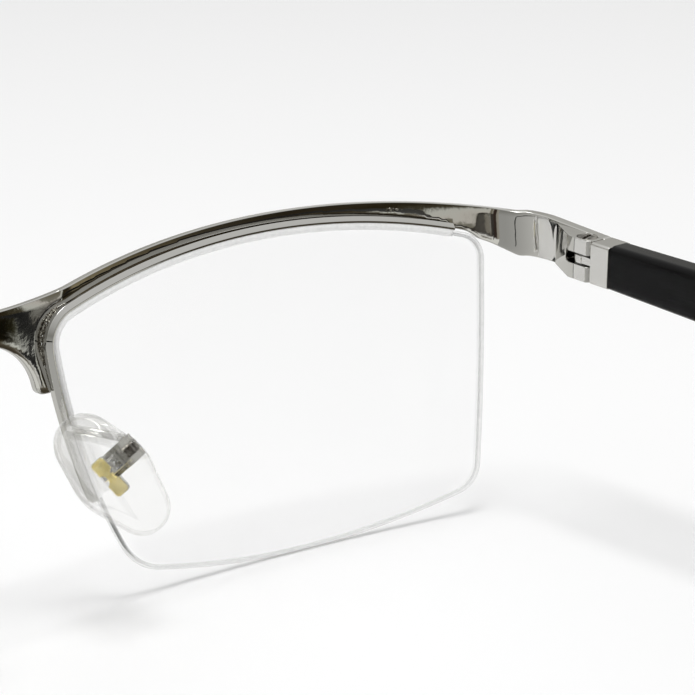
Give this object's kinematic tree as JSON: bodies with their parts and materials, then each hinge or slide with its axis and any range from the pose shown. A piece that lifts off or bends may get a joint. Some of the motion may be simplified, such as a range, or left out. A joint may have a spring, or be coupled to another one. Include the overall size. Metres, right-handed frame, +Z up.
{
  "type": "half rim eyeglasses",
  "caption": "Eyeglasses with a polished metal brow bar, clear lenses held from below by a nylon cord, silicone nose pads and folding black temples.",
  "frame": {"origin": "middle of the footprint, on the plane that the lower cords and the ear tips stand on", "axes": "+Z up, +Y from the front back along the open temples, X across, the wearer's right side at -X"},
  "size_m": [0.1418, 0.1506, 0.0377],
  "materials": {
    "polished_metal": "polished nickel alloy with brownish tarnish in the folds",
    "clear_lens": "clear, uncoated, ground edge",
    "clear_nylon": "translucent monofilament nylon",
    "screw_steel": "small turned screws, dulled",
    "washer_nylon": "thin white hinge washers",
    "black_acetate": "polished black acetate",
    "core_steel": "flat wire core",
    "clear_silicone": "clear soft silicone, glossy",
    "gold_metal": "thin stamped gold-coloured insert"
  },
  "bodies": {
    "front": {"front_bar": "polished_metal", "right_lens": "clear_lens", "right_rim_wire": "polished_metal", "right_rim_liner": "clear_nylon", "right_nylon_cord": "clear_nylon", "right_hinge_block": "polished_metal", "right_hinge_screw": "screw_steel", "right_hinge_washers": "washer_nylon", "right_pad_arm": "polished_metal", "right_pad_screw": "screw_steel", "left_lens": "clear_lens", "left_rim_wire": "polished_metal", "left_rim_liner": "clear_nylon", "left_nylon_cord": "clear_nylon", "left_hinge_block": "polished_metal", "left_hinge_screw": "screw_steel", "left_hinge_washers": "washer_nylon", "left_pad_arm": "polished_metal", "left_pad_screw": "screw_steel"},
    "right_temple_side": {"right_temple": "black_acetate", "right_temple_cap": "polished_metal", "right_temple_core": "core_steel"},
    "right_pad": {"right_nose_pad": "clear_silicone", "right_pad_insert": "gold_metal"},
    "left_temple_side": {"left_temple": "black_acetate", "left_temple_cap": "polished_metal", "left_temple_core": "core_steel"},
    "left_pad": {"left_nose_pad": "clear_silicone", "left_pad_insert": "gold_metal"}
  },
  "joints": [
    {"name": "right_temple_fold", "type": "hinge", "parent": "front", "child": "right_temple_side", "pos_m": [-0.0688, -0.05577, 0.031], "axis": [0, -0.0305, -0.9995], "range_deg": [0, 83]},
    {"name": "left_temple_fold", "type": "hinge", "parent": "front", "child": "left_temple_side", "pos_m": [0.0688, -0.05577, 0.031], "axis": [0, 0.0305, 0.9995], "range_deg": [0, 90]},
    {"name": "right_pad_rock", "type": "hinge", "parent": "front", "child": "right_pad", "pos_m": [-0.01114, -0.06546, 0.01812], "axis": [-0.2479, 0.684, 0.6861], "range_deg": [-10, 10]},
    {"name": "left_pad_rock", "type": "hinge", "parent": "front", "child": "left_pad", "pos_m": [0.01114, -0.06546, 0.01812], "axis": [0.2479, 0.684, 0.6861], "range_deg": [-10, 10]}
  ]
}
